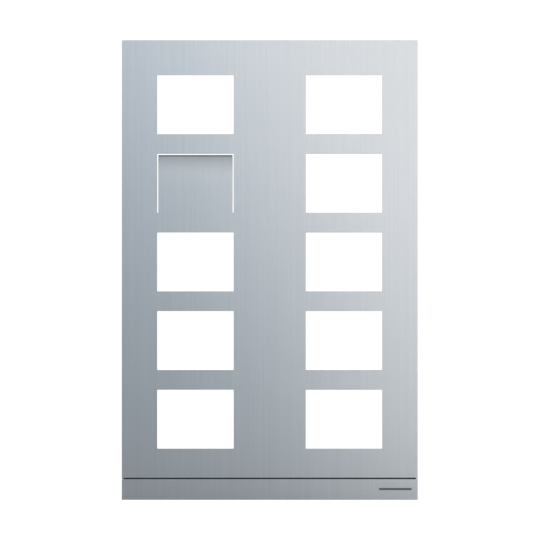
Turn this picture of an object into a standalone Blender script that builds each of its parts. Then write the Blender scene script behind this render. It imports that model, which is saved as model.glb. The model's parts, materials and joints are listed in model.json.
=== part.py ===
"""Door intercom panel: a brushed steel cover with ten module bays, hung on a die-cast wall frame.

Run it with: blender --background --python part.py

The panel stands upright. +Z is up, the front faces -Y, and the origin is the middle of the back
face, which lies against the wall at y = 0. Left and right are as seen from the front. The cover
hangs on two hinge pins at the top of the wall frame. Two captive screws lock its lower edge, and
the end strip slides up over them from below.
"""

import math

import bmesh
import bpy
from mathutils import Vector

MM = 0.001
GAP = 0.3 * MM  # between pieces that touch or rest on each other

# Panel, as seen from the front
PANEL_W = 271 * MM
PANEL_H = 421 * MM
PANEL_D = 16 * MM
SHEET = 1.5 * MM
RETURN_END = -2.5 * MM  # y where the folded edges stop, short of the wall
WINDOW_W = 70 * MM
WINDOW_H = 53.8 * MM
TOP_MARGIN = 32.2 * MM
COLUMN_PITCH = 136 * MM
ROW_PITCH = 72 * MM
ROW_COUNT = 5
STRIP_H = 19 * MM
JOINT_GAP = 1.2 * MM
JOINT_SEAM = 0.1 * MM  # what stays open where the folded edges close the joint's two ends
SLOT = 1.0 * MM  # cut round three sides of the sound flap
FLAP_LENGTH = WINDOW_H - SLOT
BOW_RADIUS = 700 * MM  # the whole flap bows slowly inwards from its fold
ROLL_LENGTH, ROLL_RADIUS = 24 * MM, 105 * MM  # and rolls in tighter towards its top edge
BOW_STEPS, ROLL_STEPS = 8, 14

LEFT, RIGHT = -PANEL_W / 2, PANEL_W / 2
TOP, BOTTOM = PANEL_H / 2, -PANEL_H / 2
FRONT = -PANEL_D
INNER_FRONT = FRONT + SHEET
STRIP_TOP = BOTTOM + STRIP_H
PLATE_BOTTOM = STRIP_TOP + JOINT_GAP
COLUMNS = (-COLUMN_PITCH / 2, COLUMN_PITCH / 2)
FIRST_ROW = TOP - TOP_MARGIN - WINDOW_H / 2
ROWS = tuple(FIRST_ROW - ROW_PITCH * n for n in range(ROW_COUNT))
BAYS = tuple((x, z) for x in COLUMNS for z in ROWS)
SOUND_BAY = (COLUMNS[0], ROWS[1])

# Cover carrier, the plastic grid behind the steel
CARRIER_FRONT = INNER_FRONT + GAP
CARRIER_BACK = CARRIER_FRONT + 1.8 * MM
CARRIER_PLAY = 0.4 * MM  # at each side, inside the folded edges
CARRIER_W = PANEL_W - 2 * SHEET - 2 * CARRIER_PLAY
CARRIER_TOP = TOP - SHEET - GAP
JOINT_COVER = 3.5 * MM  # how far it reaches down behind the joint, from the plate's edge
JOINT_OVERLAP = 3 * MM  # how far it stays at full width above that edge
CARRIER_BOTTOM = PLATE_BOTTOM - JOINT_COVER
CARRIER_WALL = 1.7 * MM
CARRIER_SIDE_END = -4 * MM
CARRIER_TOP_END = -10 * MM
CARRIER_CLEARANCE = 1 * MM  # its windows stand back from the steel edges
SEAL_WIDTH = 2.5 * MM
SEAL_SETBACK = 1.5 * MM
SEAL_END = -10.6 * MM
COLLAR = 1.2 * MM
COLLAR_END = -10.9 * MM

# Tongue, the lower edge of the carrier, which the end strip covers
TONGUE_W = 256 * MM
TONGUE_FRONT, TONGUE_BACK = -6.5 * MM, -4.5 * MM
TONGUE_BOTTOM = -206 * MM
STEP_TOP, STEP_BOTTOM = -191.7 * MM, -193.5 * MM

# Guides that the end strip slides on
GUIDE_X = 60 * MM
GUIDE_STEM = 1.5 * MM
GUIDE_HEAD = 4 * MM
GUIDE_HEAD_BACK, GUIDE_HEAD_FRONT = -8.2 * MM, -9.9 * MM
GUIDE_TOP, GUIDE_BOTTOM = -195 * MM, -205 * MM

# End strip
STRIP_CARRIER_BACK = -12.8 * MM
STRIP_CARRIER_TOP = CARRIER_BOTTOM - GAP
STRIP_SHELF_END = -8 * MM  # y where the shelf along its lower edge stops
SHOE_WALL = 1.5 * MM
SPRING_X = 30 * MM
SPRING_SPAN = 26 * MM
SPRING_W = 7 * MM
SPRING_T = 0.5 * MM

# Fasteners
STUD_R = 1.5 * MM
STUD_X = 119.3 * MM
STUD_ROWS = (190 * MM, ROWS[2], -178 * MM)
STUD_END = -10.2 * MM
NUT_R = 3.2 * MM
NUT_H = 2.4 * MM
LOCK_X, LOCK_Z = 100 * MM, -199 * MM
SCREW_R = 1.75 * MM
SCREW_HEAD_R = 3.75 * MM
SCREW_HEAD_H = 2.4 * MM
SCREW_TIP = -0.9 * MM
WASHER_R, WASHER_H = 4.2 * MM, 0.6 * MM
SOCKET_R, SOCKET_DEPTH = 1.6 * MM, 1.5 * MM
INSERT_R, INSERT_BORE = 3 * MM, 2.1 * MM
INSERT_FRONT, INSERT_BACK = -4.1 * MM, -0.5 * MM
LOCK_HOLE_R = 2.5 * MM  # in the tongue
HEAD_HOLE_R = SCREW_HEAD_R + 0.8 * MM  # in the end strip's backing

# Wall frame
FRAME_W = 261 * MM
FRAME_TOP, FRAME_BOTTOM = 200.5 * MM, -207.5 * MM
WEB_FRONT, WEB_BACK = -4.2 * MM, -2.2 * MM
WALL_END = -9 * MM
BAY_W, BAY_H = 100 * MM, 68 * MM
FRAME_WALL = 1.5 * MM
LATCH_NOTCH = 10 * MM  # gap in each bay's side walls, for the module's own snap hook
RIM_BOTTOM = -186.5 * MM
GASKET_W = 3.4 * MM
RIM_RIB = 1.6 * MM
SPINE_W = 6 * MM
TIE = 2 * MM
COVER_SEAL_W = 3 * MM
SLOT_X, SLOT_TOP, SLOT_BOTTOM = 104 * MM, 191 * MM, -182 * MM
SLOT_R, SLOT_LENGTH = 2.2 * MM, 10 * MM
SLOT_PAD = (16 * MM, 8.4 * MM)
INSERT_PAD = (13 * MM, 9.6 * MM)

# Hinge at the top edge
HINGE_X = 95 * MM
HINGE_Y, HINGE_Z = -5 * MM, 205.55 * MM
PIN_R = 1.25 * MM
HOOK_W = 8 * MM
HOOK_T = 1.5 * MM
LUG_T = 3 * MM
LUG_R = 2.9 * MM
LUG_GAP = 0.5 * MM  # at each side of a hook
LUG_FRONT, LUG_BACK = -7.4 * MM, -3 * MM  # of the root below the round part
LUG_NECK, LUG_FOOT = FRAME_TOP + 1.2 * MM, FRAME_TOP - 4 * MM
PIN_LENGTH = HOOK_W + 2 * (LUG_GAP + LUG_T - 0.2 * MM)
LUG_BORE_LENGTH = 24 * MM

SIDES = (("left", -1), ("right", 1))


def clear_scene():
    for old in list(bpy.data.objects):
        bpy.data.objects.remove(old)


def make_material(name, colour, roughness, metallic):
    material = bpy.data.materials.new(name)
    material.use_nodes = True
    shader = material.node_tree.nodes["Principled BSDF"]
    shader.inputs["Base Color"].default_value = (*colour, 1)
    shader.inputs["Roughness"].default_value = roughness
    shader.inputs["Metallic"].default_value = metallic
    return material


# Meshes


def rectangle(x, z, width, height):
    """A rectangle (x0, x1, z0, z1) about a centre."""
    return (x - width / 2, x + width / 2, z - height / 2, z + height / 2)


def grown(r, by):
    return (r[0] - by, r[1] + by, r[2] - by, r[3] + by)


def ring(outer, inner):
    """The four rectangles that lie between two nested ones."""
    return [
        (outer[0], inner[0], outer[2], outer[3]),
        (inner[1], outer[1], outer[2], outer[3]),
        (inner[0], inner[1], outer[2], inner[2]),
        (inner[0], inner[1], inner[3], outer[3]),
    ]


def holds(rectangles, x, z):
    return any(x0 < x < x1 and z0 < z < z1 for x0, x1, z0, z1 in rectangles)


def extrude(bm, faces, depth):
    """Draws faces out along Y and returns the end faces."""
    made = bmesh.ops.extrude_face_region(bm, geom=faces)["geom"]
    moved = [part for part in made if isinstance(part, bmesh.types.BMVert)]
    bmesh.ops.translate(bm, verts=moved, vec=(0, depth, 0))
    return [part for part in made if isinstance(part, bmesh.types.BMFace)]


def raise_ribs(bm, faces, ribs, y):
    """Draws out those of the faces at y that lie in a rib. Ribs are (rectangle, y of the end)."""
    away = 1 if ribs and ribs[0][1] > y else -1
    for end in sorted({end for _, end in ribs}, key=lambda v: v * away):
        tall = [r for r, reach in ribs if reach * away >= end * away]
        centres = [(face, face.calc_center_median()) for face in faces]
        chosen = [face for face, centre in centres if holds(tall, centre.x, centre.z)]
        faces = extrude(bm, chosen, end - y)
        bmesh.ops.delete(bm, geom=chosen, context="FACES")
        y = end


def relief(plates, openings, y_front, y_back, front_ribs=(), back_ribs=(), z_lines=()):
    """A slab across XZ with rectangular openings, and ribs that stand on its two faces."""
    ribs = [r for r, _ in (*front_ribs, *back_ribs)]
    shapes = [*plates, *openings, *ribs]
    xs = sorted({round(x, 7) for r in shapes for x in r[:2]})
    zs = sorted({round(z, 7) for r in shapes for z in r[2:]} | {round(z, 7) for z in z_lines})
    bm = bmesh.new()
    points = {(x, z): bm.verts.new((x, y_front, z)) for x in xs for z in zs}
    for x0, x1 in zip(xs, xs[1:]):
        for z0, z1 in zip(zs, zs[1:]):
            middle = ((x0 + x1) / 2, (z0 + z1) / 2)
            if holds(plates, *middle) and not holds(openings, *middle):
                bm.faces.new([points[c] for c in ((x0, z0), (x1, z0), (x1, z1), (x0, z1))])
    bmesh.ops.delete(bm, geom=[v for v in bm.verts if not v.link_faces], context="VERTS")
    front = bm.faces[:]
    back = extrude(bm, front, y_back - y_front)
    raise_ribs(bm, back, list(back_ribs), y_back)
    raise_ribs(bm, [f for f in front if f.is_valid], list(front_ribs), y_front)
    bmesh.ops.recalc_face_normals(bm, faces=bm.faces)
    return bm


def prism(bm, outline, start, vector):
    """Adds the outline, a list of points in 3D, drawn out along a vector from a start point."""
    face = bm.faces.new([bm.verts.new(Vector(point) + Vector(start)) for point in outline])
    made = bmesh.ops.extrude_face_region(bm, geom=[face])["geom"]
    moved = [part for part in made if isinstance(part, bmesh.types.BMVert)]
    bmesh.ops.translate(bm, verts=moved, vec=vector)
    bmesh.ops.recalc_face_normals(bm, faces=bm.faces)
    return bm


def circle_points(radius, count, turned=0.0):
    angles = [math.tau * (n + turned) / count for n in range(count)]
    return [(radius * math.cos(a), radius * math.sin(a)) for a in angles]


def rod_along_y(bm, x, z, radius, y0, y1, count=24, turned=0.5):
    outline = [(u, 0, v) for u, v in circle_points(radius, count, turned)]
    return prism(bm, outline, (x, y0, z), (0, y1 - y0, 0))


def rod_along_x(bm, x0, x1, y, z, radius, count=24):
    outline = [(0, u, v) for u, v in circle_points(radius, count, 0.5)]
    return prism(bm, outline, (x0, y, z), (x1 - x0, 0, 0))


def stadium_along_y(bm, x, z, radius, length, y0, y1, count=12):
    """A slot's shape: two half rounds, length apart end to end along X."""
    half = length / 2 - radius
    right = [math.pi * (n / count - 0.5) for n in range(count + 1)]
    outline = [(half + radius * math.cos(a), 0, radius * math.sin(a)) for a in right]
    outline += [(-u, 0, -v) for u, _, v in outline]
    return prism(bm, outline, (x, y0, z), (0, y1 - y0, 0))


# Objects


def finish_mesh(bm, name):
    bmesh.ops.dissolve_limit(bm, angle_limit=math.radians(0.05), verts=bm.verts, edges=bm.edges)
    mesh = bpy.data.meshes.new(name)
    bm.to_mesh(mesh)
    bm.free()
    return mesh


def add(name, bm, material, rounded=False):
    """Adds the mesh as a named part, with its origin at its own middle."""
    mesh = finish_mesh(bm, name)
    middle = sum((Vector(v.co) for v in mesh.vertices), Vector()) / len(mesh.vertices)
    return place(name, mesh, middle, material, rounded)


def place(name, mesh, origin, material, rounded=False):
    """Adds the mesh as a named part whose origin is the given point."""
    for vertex in mesh.vertices:
        vertex.co -= Vector(origin)
    part = bpy.data.objects.new(name, mesh)
    part.location = origin
    bpy.context.scene.collection.objects.link(part)
    mesh.materials.append(material)
    if rounded:
        mesh.shade_smooth()
        mesh.set_sharp_from_angle(angle=math.radians(35))
    return part


def combine(part, bm, operation):
    """Cuts the shapes from a part, or joins them to it, with a Boolean."""
    mesh = bpy.data.meshes.new(f"{part.name}_{operation.lower()}")
    bm.to_mesh(mesh)
    bm.free()
    tool = bpy.data.objects.new(mesh.name, mesh)
    bpy.context.scene.collection.objects.link(tool)
    tool.hide_render = True
    tool.display_type = "WIRE"
    modifier = part.modifiers.new(operation.title(), "BOOLEAN")
    modifier.operation = operation
    modifier.object = tool
    return tool


# Cover


def window(bay, margin=0.0):
    return grown(rectangle(*bay, WINDOW_W, WINDOW_H), margin)


def stud_places():
    return [(x, z) for z in STUD_ROWS for x in (-STUD_X, 0, STUD_X)]


def flap_heights():
    """Heights above the fold of the lines that the flap bends along, closest in its roll."""
    roll_start = FLAP_LENGTH - ROLL_LENGTH
    bow = [roll_start * n / BOW_STEPS for n in range(1, BOW_STEPS)]
    return bow + [roll_start + ROLL_LENGTH * n / ROLL_STEPS for n in range(ROLL_STEPS)]


def flap_point(height, inset):
    """(y, height) of the bent flap, for a height above its fold and a depth into the sheet."""
    rolled = max(0.0, height - FLAP_LENGTH + ROLL_LENGTH)
    bent = height**2 / (2 * BOW_RADIUS) + rolled**2 / (2 * ROLL_RADIUS)
    slope = height / BOW_RADIUS + rolled / ROLL_RADIUS
    along = math.sqrt(1 + slope * slope)
    return FRONT + bent + inset / along, height - inset * slope / along


def bend_flap(bm, fold, x0, x1):
    """Presses the tongue between the slots inwards, further the nearer it is to its top edge."""
    for vertex in bm.verts:
        height = vertex.co.z - fold
        in_flap = x0 - GAP < vertex.co.x < x1 + GAP and 0 < height < FLAP_LENGTH + GAP
        if in_flap and vertex.co.y < INNER_FRONT + GAP:
            y, rise = flap_point(height, vertex.co.y - FRONT)
            vertex.co.y = y
            vertex.co.z = fold + rise


def front_plate(steel):
    """The folded cover sheet: nine windows, the sound flap, and weld studs on the back."""
    x0, x1, fold, flap_top = window(SOUND_BAY)
    openings = [window(bay) for bay in BAYS if bay != SOUND_BAY]
    openings += [
        (x0, x0 + SLOT, fold, flap_top),
        (x1 - SLOT, x1, fold, flap_top),
        (x0 + SLOT, x1 - SLOT, flap_top - SLOT, flap_top),
    ]
    face = (LEFT, RIGHT, PLATE_BOTTOM, TOP)
    side_bottom = STRIP_TOP + JOINT_SEAM
    sides = [(LEFT, LEFT + SHEET, side_bottom, TOP), (RIGHT - SHEET, RIGHT, side_bottom, TOP)]
    returns = [*sides, (LEFT, RIGHT, TOP - SHEET, TOP)]
    steps = [fold + height for height in flap_heights()]
    ribs = [(r, RETURN_END) for r in returns]
    bm = relief([face, *sides], openings, FRONT, INNER_FRONT, back_ribs=ribs, z_lines=steps)
    bend_flap(bm, fold, x0 + SLOT, x1 - SLOT)
    plate = add("front_plate", bm, steel)
    studs = bmesh.new()
    for x, z in stud_places():
        rod_along_y(studs, x, z, STUD_R, INNER_FRONT - SHEET / 2, STUD_END, count=16)
    combine(plate, studs, "UNION")


def hook(bm, x):
    """One open hook, which drops over a hinge pin from above."""
    reach = PIN_R + GAP
    back = HINGE_Y + reach + HOOK_T
    start = (CARRIER_FRONT + CARRIER_BACK) / 2
    top = HINGE_Z + reach + HOOK_T
    outline = [
        (0, start, HINGE_Z + reach),
        (0, start, top),
        (0, back, top),
        (0, back, HINGE_Z - PIN_R - GAP),
        (0, back - HOOK_T, HINGE_Z - PIN_R - GAP),
        (0, back - HOOK_T, HINGE_Z + reach),
    ]
    prism(bm, outline, (x - HOOK_W / 2, 0, 0), (HOOK_W, 0, 0))


def guide(bm, x):
    """One T-shaped guide on the tongue."""
    root = (TONGUE_FRONT + TONGUE_BACK) / 2
    half = [(GUIDE_STEM, root), (GUIDE_STEM, GUIDE_HEAD_BACK)]
    half += [(GUIDE_HEAD, GUIDE_HEAD_BACK), (GUIDE_HEAD, GUIDE_HEAD_FRONT)]
    outline = [(u, v, 0) for u, v in half] + [(-u, v, 0) for u, v in reversed(half)]
    prism(bm, outline, (x, 0, GUIDE_BOTTOM), (0, 0, GUIDE_TOP - GUIDE_BOTTOM))


def tongue(bm):
    """The stepped lower edge: back from the grid, then down behind the end strip."""
    start = (CARRIER_FRONT + CARRIER_BACK) / 2
    outline = [
        (0, start, STEP_TOP),
        (0, TONGUE_BACK, STEP_TOP),
        (0, TONGUE_BACK, TONGUE_BOTTOM),
        (0, TONGUE_FRONT, TONGUE_BOTTOM),
        (0, TONGUE_FRONT, STEP_BOTTOM),
        (0, start, STEP_BOTTOM),
    ]
    prism(bm, outline, (-TONGUE_W / 2, 0, 0), (TONGUE_W, 0, 0))


def cover_carrier(plastic):
    """The plastic grid behind the steel, with its hooks, collars and tongue."""
    half = CARRIER_W / 2
    plate = (-half, half, CARRIER_BOTTOM, CARRIER_TOP)
    bar_end = PANEL_W / 2 - SHEET - JOINT_SEAM
    joint_bar = (-bar_end, bar_end, CARRIER_BOTTOM, PLATE_BOTTOM + JOINT_OVERLAP)
    wall = CARRIER_WALL
    ribs = [
        ((-half, -half + wall, CARRIER_BOTTOM, CARRIER_TOP), CARRIER_SIDE_END),
        ((half - wall, half, CARRIER_BOTTOM, CARRIER_TOP), CARRIER_SIDE_END),
        ((-half, half, CARRIER_TOP - wall, CARRIER_TOP), CARRIER_TOP_END),
    ]
    for bay in BAYS:
        inner = window(bay, SEAL_SETBACK + SEAL_WIDTH + GAP)
        ribs += [(r, COLLAR_END) for r in ring(grown(inner, COLLAR), inner)]
    openings = [window(bay, CARRIER_CLEARANCE) for bay in BAYS]
    bm = relief([plate, joint_bar], openings, CARRIER_FRONT, CARRIER_BACK, back_ribs=ribs)
    carrier = add("cover_carrier", bm, plastic)
    for _, side in SIDES:
        joined = bmesh.new()
        hook(joined, side * HINGE_X)
        combine(carrier, joined, "UNION")
    joined = bmesh.new()
    tongue(joined)
    combine(carrier, joined, "UNION")
    joined = bmesh.new()
    for _, side in SIDES:
        guide(joined, side * GUIDE_X)
    combine(carrier, joined, "UNION")
    holes = bmesh.new()
    for x, z in stud_places():
        rod_along_y(holes, x, z, STUD_R + GAP, FRONT, 0, count=16)
    for _, side in SIDES:
        rod_along_y(holes, side * LOCK_X, LOCK_Z, LOCK_HOLE_R, CARRIER_BACK, 0)
    combine(carrier, holes, "DIFFERENCE")


def seals(rubber):
    """A seal round each window, for the front of a module, and one round the whole cover."""
    back = SEAL_END
    for n, bay in enumerate(BAYS):
        column, row = ("left", "right")[n // ROW_COUNT], n % ROW_COUNT + 1
        name = "sound_seal" if bay == SOUND_BAY else f"window_seal_{column}_{row}"
        inner = window(bay, SEAL_SETBACK)
        bm = relief([grown(inner, SEAL_WIDTH)], [inner], CARRIER_BACK + GAP, back)
        add(name, bm, rubber)
    outer = (-FRAME_W / 2, FRAME_W / 2, RIM_BOTTOM, FRAME_TOP)
    bm = relief([outer], [grown(outer, -COVER_SEAL_W)], CARRIER_BACK + GAP, WALL_END - GAP)
    add("cover_seal", bm, rubber)


def stud_nuts(steel):
    """A hexagon nut on each weld stud."""
    start = CARRIER_BACK + GAP
    for n, (x, z) in enumerate(stud_places(), 1):
        bm = bmesh.new()
        rod_along_y(bm, x, z, NUT_R, start, start + NUT_H, count=6)
        nut = add(f"stud_nut_{n}", bm, steel)
        bore = rod_along_y(bmesh.new(), x, z, STUD_R + GAP, start - MM, start + NUT_H + MM, count=16)
        combine(nut, bore, "DIFFERENCE")


# End strip


def end_strip(steel):
    """The folded steel strip below the joint."""
    face = (LEFT, RIGHT, BOTTOM, STRIP_TOP)
    returns = [
        (LEFT, LEFT + SHEET, BOTTOM, STRIP_TOP),
        (RIGHT - SHEET, RIGHT, BOTTOM, STRIP_TOP),
        (LEFT, RIGHT, BOTTOM, BOTTOM + SHEET),
    ]
    ribs = [(r, RETURN_END) for r in returns]
    add("end_strip", relief([face], [], FRONT, INNER_FRONT, back_ribs=ribs), steel)


def shoe(bm, x):
    """The two angled arms that grip one guide from both sides."""
    inner = GUIDE_HEAD + GAP
    lip_back = TONGUE_FRONT - GAP
    root = (CARRIER_FRONT + STRIP_CARRIER_BACK) / 2
    for side in (-1, 1):
        outline = [
            (side * inner, root, 0),
            (side * (inner + SHOE_WALL), root, 0),
            (side * (inner + SHOE_WALL), lip_back, 0),
            (side * (GUIDE_STEM + GAP), lip_back, 0),
            (side * (GUIDE_STEM + GAP), GUIDE_HEAD_BACK + GAP, 0),
            (side * inner, GUIDE_HEAD_BACK + GAP, 0),
        ]
        prism(bm, outline, (x, 0, GUIDE_BOTTOM), (0, 0, GUIDE_TOP - GUIDE_BOTTOM - MM))


def strip_carrier(plastic):
    """The plastic backing of the end strip, with the shoes that slide on the guides."""
    half = CARRIER_W / 2
    bottom = BOTTOM + SHEET + GAP
    plate = (-half, half, bottom, STRIP_CARRIER_TOP)
    ribs = [
        ((-half, half, bottom, bottom + SHOE_WALL), STRIP_SHELF_END),
        ((-half, -half + SHOE_WALL, bottom, STRIP_CARRIER_TOP), CARRIER_SIDE_END),
        ((half - SHOE_WALL, half, bottom, STRIP_CARRIER_TOP), CARRIER_SIDE_END),
    ]
    bm = relief([plate], [], CARRIER_FRONT, STRIP_CARRIER_BACK, back_ribs=ribs)
    carrier = add("strip_carrier", bm, plastic)
    joined = bmesh.new()
    for _, side in SIDES:
        shoe(joined, side * GUIDE_X)
    combine(carrier, joined, "UNION")
    holes = bmesh.new()
    for _, side in SIDES:
        rod_along_y(holes, side * LOCK_X, LOCK_Z, HEAD_HOLE_R, FRONT, STRIP_CARRIER_BACK + MM)
    combine(carrier, holes, "DIFFERENCE")


def strip_springs(spring_steel):
    """Bowed leaf springs between the strip's backing and the tongue, which hold it by friction."""
    base = STRIP_CARRIER_BACK + GAP
    rise = TONGUE_FRONT - GAP - base - SPRING_T
    steps = 16
    for name, side in SIDES:
        lower = []
        for n in range(steps + 1):
            share = n / steps
            bow = rise * math.sin(math.pi * share) ** 2
            lower.append(((share - 0.5) * SPRING_SPAN, bow, 0))
        upper = [(u, v + SPRING_T, 0) for u, v, _ in reversed(lower)]
        start = (side * SPRING_X, base, LOCK_Z - SPRING_W / 2)
        bm = prism(bmesh.new(), lower + upper, start, (0, 0, SPRING_W))
        add(f"strip_spring_{name}", bm, spring_steel, rounded=True)


# Locks


def locks(screw_steel, nylon, brass):
    """At each side: a captive screw, the washer under its head, and its insert in the frame."""
    washer_back = TONGUE_FRONT - GAP
    head_back = washer_back - WASHER_H - GAP
    for name, side in SIDES:
        x = side * LOCK_X
        bm = bmesh.new()
        rod_along_y(bm, x, LOCK_Z, SCREW_HEAD_R, head_back - SCREW_HEAD_H, head_back, count=32)
        mesh = finish_mesh(bm, f"lock_screw_{name}")
        screw = place(mesh.name, mesh, (x, 0, LOCK_Z), screw_steel, rounded=True)
        shank = bmesh.new()
        rod_along_y(shank, 0, 0, SCREW_R, head_back - SCREW_HEAD_H / 3, SCREW_TIP)
        combine(screw, shank, "UNION").location = screw.location
        socket = bmesh.new()
        mouth = head_back - SCREW_HEAD_H
        rod_along_y(socket, 0, 0, SOCKET_R, mouth - MM, mouth + SOCKET_DEPTH, count=6)
        combine(screw, socket, "DIFFERENCE").location = screw.location

        bm = bmesh.new()
        rod_along_y(bm, x, LOCK_Z, WASHER_R, washer_back - WASHER_H, washer_back, count=32)
        washer = add(f"lock_washer_{name}", bm, nylon, rounded=True)
        combine(washer, rod_along_y(bmesh.new(), x, LOCK_Z, SCREW_R + GAP, FRONT, 0), "DIFFERENCE")

        bm = rod_along_y(bmesh.new(), x, LOCK_Z, INSERT_R, INSERT_FRONT, INSERT_BACK, count=20)
        insert = add(f"lock_insert_{name}", bm, brass)
        combine(insert, rod_along_y(bmesh.new(), x, LOCK_Z, INSERT_BORE, FRONT, MM), "DIFFERENCE")


# Wall frame


def bay_rectangle(bay):
    return rectangle(*bay, BAY_W, BAY_H)


def bay_sides(x):
    """The two long walls beside a column of bays, as their x ranges."""
    half = BAY_W / 2
    return [(x - half - FRAME_WALL, x - half), (x + half, x + half + FRAME_WALL)]


def bay_walls(notched):
    """Walls round all ten bays. Notched ones leave a gap beside each bay for a snap hook."""
    walls = []
    top = ROWS[0] + BAY_H / 2
    bottom = ROWS[-1] - BAY_H / 2
    for x in COLUMNS:
        edges = [bottom - FRAME_WALL]
        if notched:
            for z in reversed(ROWS):
                edges += [z - LATCH_NOTCH / 2, z + LATCH_NOTCH / 2]
        edges += [top + FRAME_WALL]
        for x0, x1 in bay_sides(x):
            walls += [(x0, x1, z0, z1) for z0, z1 in zip(edges[::2], edges[1::2])]
        half = BAY_W / 2
        walls.append((x - half, x + half, top, top + FRAME_WALL))
        walls.append((x - half, x + half, bottom - FRAME_WALL, bottom))
        walls += [rectangle(x, z - ROW_PITCH / 2, BAY_W, ROW_PITCH - BAY_H) for z in ROWS[:-1]]
    return walls


def tie_ribs(edge):
    """Short ribs between the bay walls, and from them out to an edge, level with the bars."""
    ribs = []
    inner = COLUMN_PITCH / 2 - BAY_W / 2 - FRAME_WALL
    outer = COLUMN_PITCH / 2 + BAY_W / 2 + FRAME_WALL
    for z in ROWS[:-1]:
        level = z - ROW_PITCH / 2
        ribs.append((-inner, inner, level - TIE / 2, level + TIE / 2))
        for x0, x1 in ((-edge, -outer), (outer, edge)):
            ribs.append((x0, x1, level - TIE / 2, level + TIE / 2))
    return ribs


def fixing_slots():
    return [(x, z) for z in (SLOT_TOP, SLOT_BOTTOM) for x in (-SLOT_X, 0, SLOT_X)]


def frame_ribs():
    """(front ribs, back ribs) of the wall frame."""
    half = FRAME_W / 2
    rim = (-half, half, RIM_BOTTOM, FRAME_TOP)
    front = [*ring(rim, grown(rim, -FRAME_WALL)), *bay_walls(True), *tie_ribs(half - FRAME_WALL)]
    edge = grown((-half, half, FRAME_BOTTOM, FRAME_TOP), -GASKET_W - GAP)
    inner = grown(edge, -RIM_RIB)
    back = [*ring(edge, inner), *bay_walls(False), *tie_ribs(inner[1])]
    spine = SPINE_W / 2
    back.append((-spine, spine, inner[2], inner[3]))
    back += [rectangle(x, z, *SLOT_PAD) for x, z in fixing_slots()]
    back += [rectangle(side * LOCK_X, LOCK_Z, *INSERT_PAD) for _, side in SIDES]
    return [(r, WALL_END) for r in front], [(r, 0.0) for r in back]


def lug(bm, x):
    """One cheek that holds a hinge pin, round above the frame's top edge."""
    arc = [math.pi * n / 12 for n in range(13)]
    outline = [(0, HINGE_Y + LUG_R * math.cos(a), HINGE_Z + LUG_R * math.sin(a)) for a in arc]
    outline += [(0, LUG_FRONT, LUG_NECK), (0, LUG_FRONT, LUG_FOOT)]
    outline += [(0, LUG_BACK, LUG_FOOT), (0, LUG_BACK, LUG_NECK)]
    prism(bm, outline, (x - LUG_T / 2, 0, 0), (LUG_T, 0, 0))


def mounting_frame(casting):
    """The die-cast frame that is screwed to the wall, with ten bays for the modules."""
    front_ribs, back_ribs = frame_ribs()
    plate = (-FRAME_W / 2, FRAME_W / 2, FRAME_BOTTOM, FRAME_TOP)
    openings = [bay_rectangle(bay) for bay in BAYS]
    bm = relief([plate], openings, WEB_FRONT, WEB_BACK, front_ribs, back_ribs)
    frame = add("mounting_frame", bm, casting)
    lugs = bmesh.new()
    lug_offset = (HOOK_W + LUG_T) / 2 + LUG_GAP
    for _, side in SIDES:
        for cheek in (-1, 1):
            lug(lugs, side * HINGE_X + cheek * lug_offset)
    combine(frame, lugs, "UNION")
    holes = bmesh.new()
    for x, z in fixing_slots():
        stadium_along_y(holes, x, z, SLOT_R, SLOT_LENGTH, FRONT, MM)
    for _, side in SIDES:
        rod_along_y(holes, side * LOCK_X, LOCK_Z, INSERT_R + GAP, FRONT, MM, count=20)
        start = side * HINGE_X - LUG_BORE_LENGTH / 2
        rod_along_x(holes, start, start + LUG_BORE_LENGTH, HINGE_Y, HINGE_Z, PIN_R + GAP)
    combine(frame, holes, "DIFFERENCE")


def hinge_pins(steel):
    for name, side in SIDES:
        x = side * HINGE_X
        start = x - PIN_LENGTH / 2
        bm = rod_along_x(bmesh.new(), start, start + PIN_LENGTH, HINGE_Y, HINGE_Z, PIN_R)
        mesh = finish_mesh(bm, f"hinge_pin_{name}")
        place(mesh.name, mesh, (x, HINGE_Y, HINGE_Z), steel, rounded=True)


def wall_gasket(rubber):
    """The seal in the rebate round the frame's back edge."""
    outer = (-FRAME_W / 2, FRAME_W / 2, FRAME_BOTTOM, FRAME_TOP)
    bm = relief([outer], [grown(outer, -GASKET_W)], WEB_BACK + GAP, 0)
    add("wall_gasket", bm, rubber)


def main():
    clear_scene()
    brushed_steel = make_material("brushed_steel", (0.56, 0.59, 0.62), 0.32, 1.0)
    black_plastic = make_material("black_plastic", (0.02, 0.02, 0.022), 0.55, 0.0)
    rubber = make_material("seal_rubber", (0.015, 0.015, 0.015), 0.8, 0.0)
    casting = make_material("cast_aluminium", (0.42, 0.43, 0.44), 0.5, 1.0)
    bright_steel = make_material("fastener_steel", (0.6, 0.6, 0.6), 0.25, 1.0)
    brass = make_material("insert_brass", (0.72, 0.53, 0.24), 0.3, 1.0)
    nylon = make_material("washer_nylon", (0.75, 0.75, 0.72), 0.5, 0.0)

    front_plate(brushed_steel)
    cover_carrier(black_plastic)
    seals(rubber)
    stud_nuts(bright_steel)
    end_strip(brushed_steel)
    strip_carrier(black_plastic)
    strip_springs(bright_steel)
    locks(bright_steel, nylon, brass)
    mounting_frame(casting)
    hinge_pins(bright_steel)
    wall_gasket(rubber)


main()
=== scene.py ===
"""Looks for the door intercom panel: brushed steel, moulded plastic, rubber and a die-cast frame.

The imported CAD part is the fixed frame. Its nodes keep their shapes and get edge radii and
materials here. +Z is up and the front faces -Y. Everything is in metres.
"""

import json
import math

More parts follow.
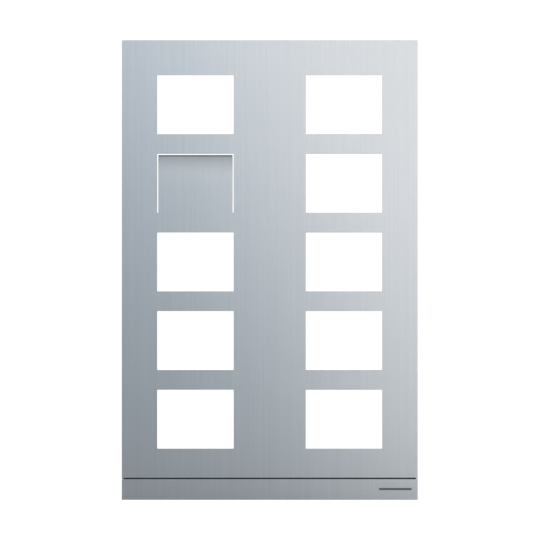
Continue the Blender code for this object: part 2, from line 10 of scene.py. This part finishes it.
import bpy
import mathutils
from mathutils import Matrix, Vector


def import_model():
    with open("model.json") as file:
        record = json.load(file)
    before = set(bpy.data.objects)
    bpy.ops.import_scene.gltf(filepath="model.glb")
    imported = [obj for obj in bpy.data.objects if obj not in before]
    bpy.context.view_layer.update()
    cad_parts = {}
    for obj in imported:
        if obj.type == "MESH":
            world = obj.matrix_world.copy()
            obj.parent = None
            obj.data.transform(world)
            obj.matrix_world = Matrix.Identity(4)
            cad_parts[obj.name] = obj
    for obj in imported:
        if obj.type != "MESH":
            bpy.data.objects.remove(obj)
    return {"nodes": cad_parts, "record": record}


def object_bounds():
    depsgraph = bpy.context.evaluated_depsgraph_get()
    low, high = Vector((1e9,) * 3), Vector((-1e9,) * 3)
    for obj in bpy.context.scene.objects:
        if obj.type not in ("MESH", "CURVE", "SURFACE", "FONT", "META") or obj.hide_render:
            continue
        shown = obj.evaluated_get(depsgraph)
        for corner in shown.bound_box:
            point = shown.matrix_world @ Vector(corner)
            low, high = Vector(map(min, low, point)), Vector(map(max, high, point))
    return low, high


MM = 0.001
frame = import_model()
cad_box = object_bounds()
nodes = frame["nodes"]
low, high = cad_box
middle = (low + high) / 2

VIEW_SIZE = 0.4945  # how much of the scene the square picture spans
CAMERA_DISTANCE = 1.4
CAMERA_SHIFT = 0.27 * MM  # of the camera from the panel's middle, along X
CAMERA_REACH = 20
FLOOR_SIZE = 12
FLOOR_DROP = 13 * MM  # below the panel, so that the end strip can slide down clear of it

EDGE_WIDTHS = {  # of the rounded edges, for each material slot
    "brushed_steel": 0.25 * MM,
    "black_plastic": 0.15 * MM,
    "seal_rubber": 0.2 * MM,
    "cast_aluminium": 0.15 * MM,
    "fastener_steel": 0.15 * MM,
    "washer_nylon": 0.1 * MM,
    "insert_brass": 0.15 * MM,
}
EDGE_SEGMENTS = 2
SHARP_ANGLE = 50  # degrees an edge turns before it is rounded
SMOOTH_ANGLE = 40  # degrees below which shading runs on across an edge
LEVEL_ANGLE = 0.3  # degrees within which two faces are joined into one
WELD_DISTANCE = 0.002 * MM
CLAMPED_NODES = ("cover_carrier",)  # its narrow hinge reliefs leave edges no room

# The steel's grain is in cells a metre. The last number is along the brushing
STEEL_DARK, STEEL_LIGHT = (0.516, 0.533, 0.550), (0.672, 0.694, 0.717)
FINE_GRAIN, HAIR_GRAIN, STREAK_GRAIN = (5200, 5200, 26), (1500, 1500, 9), (420, 420, 3.2)
BROAD_GRAIN = (14, 14, 5)
STREAK_SHARE, BROAD_SHARE = 0.4, 0.15
STEEL_CONTRAST = -0.1, 1.1  # what the lowest and highest shade mix in of the light colour
STEEL_ROUGHNESS = 0.24, 0.36
STEEL_ANISOTROPY = 0.7
FOLD_RISE = 0.7  # a fold whose normal rises or falls more than this is level

BAR_SIZE, BAR_ROUNDING = (30 * MM, 2 * MM), 0.6 * MM  # printed low on the right of the end strip
BAR_X, BAR_Z = 115 * MM, -200.6 * MM
BAR_DEPTH = 0.3 * MM  # how far in from the front face the ink can reach
INK_DARK, INK_LIGHT = (0.14, 0.147, 0.156), (0.20, 0.21, 0.22)
INK_ROUGHNESS = 0.2  # added to the steel's

BACKDROP = 1.1  # what the camera sees behind the panel
ROOM_COLOUR = (0.90, 0.95, 1.0)
ROOM_FRONT, ROOM_BACK = 0.02, 0.8
ROOM_TURN = -0.2, 0.6  # how far back a direction points, from dim to light
SOFTBOX_SIZE = 2.4
SOFTBOX_DISTANCE = 0.6
SOFTBOX_SPREAD = 97  # degrees over which its grid lets light out, brightest straight ahead
SOFTBOX_TURN = 24  # degrees from +X towards +Z, the way its light changes fastest
SOFTBOX_SOFTNESS = 0.07
SOFTBOX_SHIFT = 0.025  # of the middle of that change, towards the bright side
SOFTBOX_DIM, SOFTBOX_BRIGHT = 0.60, 1.355  # before and past the change
SOFTBOX_SLOPES = (0.57, 1.40)  # added to that for each metre along X and Z
SOFTBOX_LEAST, SOFTBOX_MOST = 0.2, 1.53
SOFTBOX_COOL, SOFTBOX_WARM = (0.86, 1.01, 1.14), (1.015, 1.0, 0.985)
SOFTBOX_COOLING = 0.3, 0.6  # heights, above the middle, over which it turns all cool again
FACING_BACK, FACING_FRONT = 90, -90  # degrees that a light or the camera turns up about X
FLOOR_LIGHT = 0.8  # of the softbox's power
FILLS = (  # name, place, size and radiance of the plain lights round the panel
    ("overhead", (0.2, 0.3, 1.8), 2.0, 0.9),
    ("front_overhead", (-0.1, -0.75, 1.7), 1.6, 0.7),
    ("left_fill", (-1.2, -0.9, 0.3), 0.9, 0.7),
    ("right_fill", (1.2, -0.9, 0.3), 0.9, 0.7),
    ("rear_key", (-0.9, 1.3, 0.6), 1.2, 1.6),
)

# The sockets of a mix node's first value and of its result, for each kind of data
MIX_SOCKETS = {"VECTOR": (4, 1), "RGBA": (6, 2)}


# Node helpers


class Nodes:
    """A short way to write the node tree of a material, a light or the world."""

    def __init__(self, tree):
        self.tree = tree
        tree.nodes.clear()

    def add(self, kind, inputs=None, **settings):
        node = self.tree.nodes.new(kind)
        for key, value in settings.items():
            setattr(node, key, value)
        for key, value in (inputs or {}).items():
            self.set(node, key, value)
        return node

    def set(self, node, key, value):
        if isinstance(value, bpy.types.NodeSocket):
            self.tree.links.new(value, node.inputs[key])
        else:
            node.inputs[key].default_value = value

    def math(self, operation, *values):
        node = self.add("ShaderNodeMath", dict(enumerate(values)), operation=operation)
        return node.outputs[0]

    def vector_math(self, operation, *values):
        node = self.add("ShaderNodeVectorMath", dict(enumerate(values)), operation=operation)
        gives_value = operation in ("LENGTH", "DOT_PRODUCT")
        return node.outputs["Value" if gives_value else "Vector"]

    def coordinates(self, kind="Object"):
        return self.add("ShaderNodeTexCoord").outputs[kind]

    def split(self, vector):
        """Its X, Y and Z."""
        return self.add("ShaderNodeSeparateXYZ", {"Vector": vector}).outputs

    def noise(self, scale, detail=2.0, roughness=0.5, offset=(0, 0, 0), place=None):
        """Noise from -1 to 1, its scale in cells a metre along each axis of the object or of
        another place."""
        place = place or self.coordinates()
        stretched = {"Vector": place, "Scale": scale, "Location": offset}
        vector = self.add("ShaderNodeMapping", stretched).outputs[0]
        inputs = {"Vector": vector, "Scale": 1.0, "Detail": detail, "Roughness": roughness}
        value = self.add("ShaderNodeTexNoise", inputs).outputs["Fac"]
        return self.math("MULTIPLY_ADD", value, 2.0, -1.0)

    def map_range(self, value, source, target, **settings):
        inputs = {"Value": value, "From Min": source[0], "From Max": source[1]}
        inputs.update({"To Min": target[0], "To Max": target[1]})
        return self.add("ShaderNodeMapRange", inputs, **settings).outputs["Result"]

    def remap(self, value, target=(0, 1)):
        """From -1..1 to a range."""
        return self.map_range(value, (-1, 1), target)

    def choose(self, factor, a, b, kind="VECTOR"):
        """a where the factor is 0 and b where it is 1. Both are vectors, or colours for RGBA."""
        node = self.add("ShaderNodeMix", {0: factor}, data_type=kind)
        first, result = MIX_SOCKETS[kind]
        self.set(node, first, a)
        self.set(node, first + 1, b)
        return node.outputs[result]

    def mix(self, factor, a, b):
        """Colour a where the factor is 0 and colour b where it is 1."""
        a, b = (c if isinstance(c, bpy.types.NodeSocket) else (*c, 1.0) for c in (a, b))
        return self.choose(factor, a, b, kind="RGBA")

    def average(self, a, b, share):
        """The average of a and b in which b has the given share."""
        kept = self.math("MULTIPLY", a, 1 - share)
        return self.math("ADD", kept, self.math("MULTIPLY", b, share))

    def rounded_bar(self, centre, size, radius):
        """1 on the front face inside a bar with rounded corners, in object coordinates."""
        from_centre = self.vector_math("SUBTRACT", self.coordinates(), centre)
        across = self.vector_math("MULTIPLY", self.vector_math("ABSOLUTE", from_centre), (1, 0, 1))
        core = (size[0] / 2 - radius, 0, size[1] / 2 - radius)
        past = self.vector_math("MAXIMUM", self.vector_math("SUBTRACT", across, core), (0, 0, 0))
        inside = self.math("LESS_THAN", self.vector_math("LENGTH", past), radius)
        depth = self.split(from_centre)["Y"]
        return self.math("MULTIPLY", inside, self.math("LESS_THAN", depth, BAR_DEPTH))

    def along(self, vector, direction):
        """How far a vector goes along a direction in X and Y."""
        return self.vector_math("DOT_PRODUCT", vector, (*direction, 0))

    def bump(self, height, depth, strength):
        inputs = {"Height": height, "Distance": depth, "Strength": strength}
        return self.add("ShaderNodeBump", inputs).outputs["Normal"]

    def finish(self, kind, shader):
        """Links a shader to the tree's own output."""
        self.tree.links.new(shader.outputs[0], self.add(kind).inputs[0])


def new_material(name):
    material = bpy.data.materials.new(name)
    material.use_nodes = True
    n = Nodes(material.node_tree)
    shader = n.add("ShaderNodeBsdfPrincipled")
    n.finish("ShaderNodeOutputMaterial", shader)
    return material, n, shader


# Materials


def brushing(n):
    """The place to read the grain at, and the direction across the brushing.

    The brushing runs upwards, and from front to back on level folds. It is the place's last axis.
    """
    position, normal = n.coordinates(), n.coordinates("Normal")
    level = n.math("GREATER_THAN", n.math("ABSOLUTE", n.split(normal)["Z"]), FOLD_RISE)
    x, y, z = n.split(position)
    turned = n.add("ShaderNodeCombineXYZ", {0: x, 1: z, 2: y}).outputs[0]
    direction = n.choose(level, (0, 0, 1), (0, 1, 0))
    across = n.vector_math("CROSS_PRODUCT", normal, direction)
    to_world = {"vector_type": "VECTOR", "convert_from": "OBJECT", "convert_to": "WORLD"}
    tangent = n.add("ShaderNodeVectorTransform", {"Vector": across}, **to_world).outputs[0]
    return n.choose(level, position, turned), tangent


def brushed_steel(name, bar=None):
    """Stainless steel with brushing at three scales, and a bar printed on it if one is given."""
    material, n, shader = new_material(name)
    place, tangent = brushing(n)
    fine = n.noise(FINE_GRAIN, detail=3, place=place)
    hairs = n.noise(HAIR_GRAIN, offset=(3.1, 0, 7.7), place=place)
    streaks = n.noise(STREAK_GRAIN, offset=(1.3, 0, 2.2), place=place)
    broad = n.noise(BROAD_GRAIN, offset=(5.0, 0, 1.0))
    lines = n.average(fine, hairs, 0.5)
    grain = n.average(lines, streaks, STREAK_SHARE)
    shade = n.average(grain, broad, BROAD_SHARE)
    colour = n.mix(n.remap(shade, STEEL_CONTRAST), STEEL_DARK, STEEL_LIGHT)
    roughness = n.remap(grain, STEEL_ROUGHNESS)
    metallic = 1.0
    if bar is not None:
        printed = n.rounded_bar(bar, BAR_SIZE, BAR_ROUNDING)
        colour = n.mix(printed, colour, n.mix(n.remap(lines), INK_DARK, INK_LIGHT))
        roughness = n.math("MULTIPLY_ADD", printed, INK_ROUGHNESS, roughness)
        metallic = n.math("SUBTRACT", 1.0, printed)
    n.set(shader, "Base Color", colour)
    n.set(shader, "Metallic", metallic)
    n.set(shader, "Roughness", roughness)
    n.set(shader, "Anisotropic", STEEL_ANISOTROPY)
    n.set(shader, "Tangent", tangent)
    n.set(shader, "Normal", n.bump(lines, depth=0.012 * MM, strength=0.5))
    return material


def dappled(name, cloud, dark, light, roughness, metallic=0.0):
    """A material whose colour and roughness drift together, and its nodes to add to."""
    material, n, shader = new_material(name)
    drift = n.noise(**cloud)
    n.set(shader, "Base Color", n.mix(n.remap(drift), dark, light))
    n.set(shader, "Metallic", metallic)
    n.set(shader, "Roughness", n.remap(drift, roughness))
    return material, n, shader


def moulded_plastic():
    """Black plastic with a fine spark-eroded texture and faint flow marks."""
    flow = {"scale": (30, 30, 18), "detail": 3}
    dark, light = (0.016, 0.017, 0.019), (0.030, 0.031, 0.034)
    material, n, shader = dappled("moulded_plastic", flow, dark, light, roughness=(0.46, 0.60))
    texture = n.noise((2600, 2600, 2600), detail=3, roughness=0.6)
    n.set(shader, "Normal", n.bump(texture, depth=0.05 * MM, strength=0.45))
    return material


def seal_rubber():
    """Closed-cell seal, dusty, with a fine pitted skin."""
    material, n, shader = new_material("seal_rubber")
    dust = n.remap(n.noise((60, 60, 60), detail=4))
    pits = n.noise((1900, 1900, 1900), detail=4, roughness=0.7)
    n.set(shader, "Base Color", n.mix(dust, (0.012, 0.012, 0.013), (0.035, 0.035, 0.036)))
    n.set(shader, "Roughness", n.remap(pits, (0.75, 0.95)))
    n.set(shader, "Normal", n.bump(pits, depth=0.12 * MM, strength=0.6))
    return material


def cast_aluminium():
    """Die-cast metal, blasted: fine pitting over slow flow patterns."""
    flow = {"scale": (22, 22, 34), "detail": 4, "roughness": 0.6}
    dark, light = (0.36, 0.37, 0.385), (0.52, 0.53, 0.54)
    material, n, shader = dappled("cast_aluminium", flow, dark, light, (0.42, 0.58), metallic=0.85)
    pits = n.noise((1500, 1500, 1500), detail=5, roughness=0.65)
    n.set(shader, "Normal", n.bump(pits, depth=0.08 * MM, strength=0.5))
    return material


def zinc_steel():
    """Bright zinc-plated steel with a faint grain."""
    cloud = {"scale": (180, 180, 180), "detail": 3}
    dark, light = (0.55, 0.56, 0.56), (0.74, 0.74, 0.72)
    material, n, shader = dappled("zinc_steel", cloud, dark, light, (0.20, 0.38), metallic=1.0)
    grain = n.noise((3000, 3000, 3000), detail=3)
    n.set(shader, "Normal", n.bump(grain, depth=0.01 * MM, strength=0.4))
    return material


def washer_nylon():
    """Off-white nylon that lets a little light in."""
    cloud = {"scale": (700, 700, 700)}
    dark, light = (0.66, 0.65, 0.61), (0.78, 0.77, 0.73)
    material, n, shader = dappled("washer_nylon", cloud, dark, light, roughness=(0.35, 0.5))
    n.set(shader, "Subsurface Weight", 0.2)
    n.set(shader, "Subsurface Radius", (MM, MM, MM))
    return material


def insert_brass():
    """Turned brass with a fine grain, longer along the insert's axis."""
    grain = {"scale": (2500, 600, 2500), "detail": 3}
    dark, light = (0.62, 0.43, 0.17), (0.80, 0.60, 0.28)
    return dappled("insert_brass", grain, dark, light, roughness=(0.22, 0.4), metallic=1.0)[0]


def pale_floor():
    material, n, shader = new_material("pale_floor")
    cloud = n.remap(n.noise((3, 3, 3)))
    n.set(shader, "Base Color", n.mix(cloud, (0.71, 0.71, 0.71), (0.75, 0.75, 0.75)))
    n.set(shader, "Roughness", 0.7)
    return material


# Finish of the CAD nodes


def smooth_by_angle():
    """A node group that shades smooth across every edge that turns less than SMOOTH_ANGLE."""
    group = bpy.data.node_groups.new("smooth_by_angle", "GeometryNodeTree")
    group.interface.new_socket("Geometry", in_out="INPUT", socket_type="NodeSocketGeometry")
    group.interface.new_socket("Geometry", in_out="OUTPUT", socket_type="NodeSocketGeometry")
    add, link = group.nodes.new, group.links.new
    start, end = add("NodeGroupInput"), add("NodeGroupOutput")
    angle = add("GeometryNodeInputMeshEdgeAngle")
    compare = add("FunctionNodeCompare")
    compare.operation = "LESS_THAN"
    compare.inputs["B"].default_value = math.radians(SMOOTH_ANGLE)
    faces, edges = add("GeometryNodeSetShadeSmooth"), add("GeometryNodeSetShadeSmooth")
    faces.domain, edges.domain = "FACE", "EDGE"
    link(start.outputs[0], faces.inputs["Geometry"])
    link(faces.outputs[0], edges.inputs["Geometry"])
    link(angle.outputs["Unsigned Angle"], compare.inputs["A"])
    link(compare.outputs[0], edges.inputs["Shade Smooth"])
    link(edges.outputs[0], end.inputs[0])
    return group


def soften(node, width, smooth_group):
    """Welds a node's triangles, joins those that are level, and rounds its sharp edges."""
    modifiers = nodes[node].modifiers
    weld = modifiers.new("Weld", "WELD")
    weld.merge_threshold = WELD_DISTANCE
    flat = modifiers.new("Flat", "DECIMATE")
    flat.decimate_type = "DISSOLVE"
    flat.angle_limit = math.radians(LEVEL_ANGLE)
    smooth = modifiers.new("Smooth", "NODES")
    smooth.node_group = smooth_group
    bevel = modifiers.new("Edges", "BEVEL")
    bevel.width = width
    bevel.segments = EDGE_SEGMENTS
    bevel.limit_method = "ANGLE"
    bevel.angle_limit = math.radians(SHARP_ANGLE)
    bevel.harden_normals = True
    bevel.use_clamp_overlap = node in CLAMPED_NODES


def paint(node, material):
    mesh = nodes[node].data
    mesh.materials.clear()
    mesh.materials.append(material)
    for polygon in mesh.polygons:
        polygon.material_index = 0


def finish_nodes():
    """Gives every node its slot's material and rounded edges. The end strip's is printed too."""
    materials = {
        "brushed_steel": brushed_steel("brushed_steel"),
        "black_plastic": moulded_plastic(),
        "seal_rubber": seal_rubber(),
        "cast_aluminium": cast_aluminium(),
        "fastener_steel": zinc_steel(),
        "washer_nylon": washer_nylon(),
        "insert_brass": insert_brass(),
    }
    smooth_group = smooth_by_angle()
    for row in frame["record"]["subparts"]:
        slot = row["material_slot"]
        paint(row["node"], materials[slot])
        soften(row["node"], EDGE_WIDTHS[slot], smooth_group)
    origin = nodes["end_strip"].matrix_world.translation
    bar = mathutils.Vector((BAR_X, low.y, BAR_Z)) - origin
    paint("end_strip", brushed_steel("printed_steel", bar))


# Stage


def floor():
    bpy.ops.mesh.primitive_plane_add(size=FLOOR_SIZE, location=(0, 0, low.z - FLOOR_DROP))
    plane = bpy.context.object
    plane.name = "floor"
    plane.data.materials.append(pale_floor())


def world():
    """White to the camera. To all else it is a soft room, dim in front of the panel and light
    behind it."""
    made = bpy.data.worlds.new("studio")
    bpy.context.scene.world = made
    made.use_nodes = True
    n = Nodes(made.node_tree)
    back = n.split(n.coordinates("Generated"))["Y"]
    smoothly = {"interpolation_type": "SMOOTHSTEP"}
    strength = n.map_range(back, ROOM_TURN, (ROOM_FRONT, ROOM_BACK), **smoothly)
    seen = n.add("ShaderNodeBackground", {"Color": (1, 1, 1, 1), "Strength": BACKDROP})
    room = n.add("ShaderNodeBackground", {"Color": (*ROOM_COLOUR, 1), "Strength": strength})
    camera_ray = n.add("ShaderNodeLightPath").outputs["Is Camera Ray"]
    inputs = {0: camera_ray, 1: room.outputs[0], 2: seen.outputs[0]}
    n.finish("ShaderNodeOutputWorld", n.add("ShaderNodeMixShader", inputs))


def area_light(name, size, power):
    """A square light that the camera doesn't see, and its data."""
    light = bpy.data.lights.new(name, "AREA")
    light.shape = "SQUARE"
    light.size = size
    light.energy = power
    placed = bpy.data.objects.new(name, light)
    placed.visible_camera = False
    bpy.context.scene.collection.objects.link(placed)
    return placed, light


def fills():
    """Plain lights, all facing the origin."""
    for name, place, size, radiance in FILLS:
        placed, _ = area_light(name, size, radiance * math.pi * size**2)
        placed.location = place
        placed.rotation_euler = placed.location.to_track_quat("Z", "Y").to_euler()


def grid_light(name, facing, share=1.0):
    """A square light with a grid on it, in the softbox's place. At a full share of power, a
    strength of 1 in its shader is a radiance of 1 straight ahead."""
    spread = math.radians(SOFTBOX_SPREAD)
    half = spread / 2
    grid_gain = math.tan(half) / (math.tan(half) - half)  # the grid turns the light to the front
    placed, light = area_light(name, SOFTBOX_SIZE, share * math.pi * SOFTBOX_SIZE**2 / grid_gain)
    light.spread = spread
    placed.location = (middle.x, low.y - SOFTBOX_DISTANCE, middle.z)
    placed.rotation_euler = (math.radians(facing), 0, 0)
    return light


def front_light():
    """A softbox before the panel that goes from dim and cool, low on the left, to bright, high on
    the right. It is cool again far above the panel."""
    light = grid_light("front_softbox", FACING_BACK)
    light.use_nodes = True
    n = Nodes(light.node_tree)
    spot = n.add("ShaderNodeNewGeometry").outputs["Parametric"]  # from 0 to 1 over each side
    from_middle = n.vector_math("SUBTRACT", spot, (0.5, 0.5, 0))
    place = n.vector_math("MULTIPLY", from_middle, (SOFTBOX_SIZE, SOFTBOX_SIZE, 0))
    turn = math.radians(SOFTBOX_TURN)
    past = n.math("SUBTRACT", n.along(place, (math.cos(turn), math.sin(turn))), SOFTBOX_SHIFT)
    bend = n.math("TANH", n.math("DIVIDE", past, SOFTBOX_SOFTNESS))
    strength = n.remap(bend, (SOFTBOX_DIM, SOFTBOX_BRIGHT))
    strength = n.math("ADD", strength, n.along(place, SOFTBOX_SLOPES))
    strength = n.math("MINIMUM", n.math("MAXIMUM", strength, SOFTBOX_LEAST), SOFTBOX_MOST)
    uncooled = n.map_range(n.along(place, (0, 1)), SOFTBOX_COOLING, (1, 0))
    warmth = n.math("MULTIPLY", n.remap(bend), uncooled)
    colour = n.mix(warmth, SOFTBOX_COOL, SOFTBOX_WARM)
    emission = n.add("ShaderNodeEmission", {"Color": colour, "Strength": strength})
    n.finish("ShaderNodeOutputLight", emission)


def floor_light():
    """Lights the floor beyond the softbox, so that the floor shows no edge below it."""
    grid_light("floor_light", FACING_FRONT, FLOOR_LIGHT)


def camera():
    """Level, straight in front of the panel, with no perspective."""
    data = bpy.data.cameras.new("camera")
    data.type = "ORTHO"
    data.ortho_scale = VIEW_SIZE
    data.clip_end = CAMERA_REACH
    placed = bpy.data.objects.new("camera", data)
    placed.location = (middle.x + CAMERA_SHIFT, low.y - CAMERA_DISTANCE, middle.z)
    placed.rotation_euler = (math.radians(FACING_BACK), 0, 0)
    bpy.context.scene.collection.objects.link(placed)
    bpy.context.scene.camera = placed


finish_nodes()
floor()
world()
fills()
front_light()
floor_light()
camera()
bpy.context.scene.view_settings.view_transform = "Standard"
